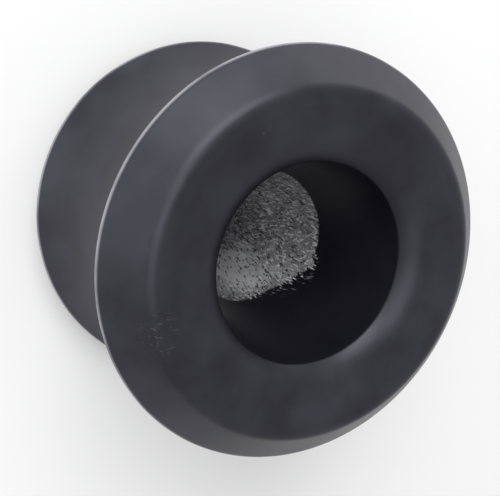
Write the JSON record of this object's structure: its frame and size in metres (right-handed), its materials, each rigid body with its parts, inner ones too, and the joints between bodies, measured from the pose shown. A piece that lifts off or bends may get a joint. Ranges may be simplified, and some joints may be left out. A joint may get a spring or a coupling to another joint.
{
  "type": "tunnel plug",
  "caption": "Double-flared ear tunnel turned in one piece: a waisted spool with sharp bevelled flares, dished ends and a tapering bore.",
  "frame": {"origin": "on the plug's axis, at the plane that its back end stands on", "axes": "+Z along the axis, from the back end towards the front end with the wide mouth; X and Y are free, because the form is turned"},
  "size_m": [0.016, 0.016, 0.0127],
  "materials": {
    "horn": "satin"
  },
  "bodies": {
    "root": {"plug_body": "horn"}
  },
  "joints": []
}
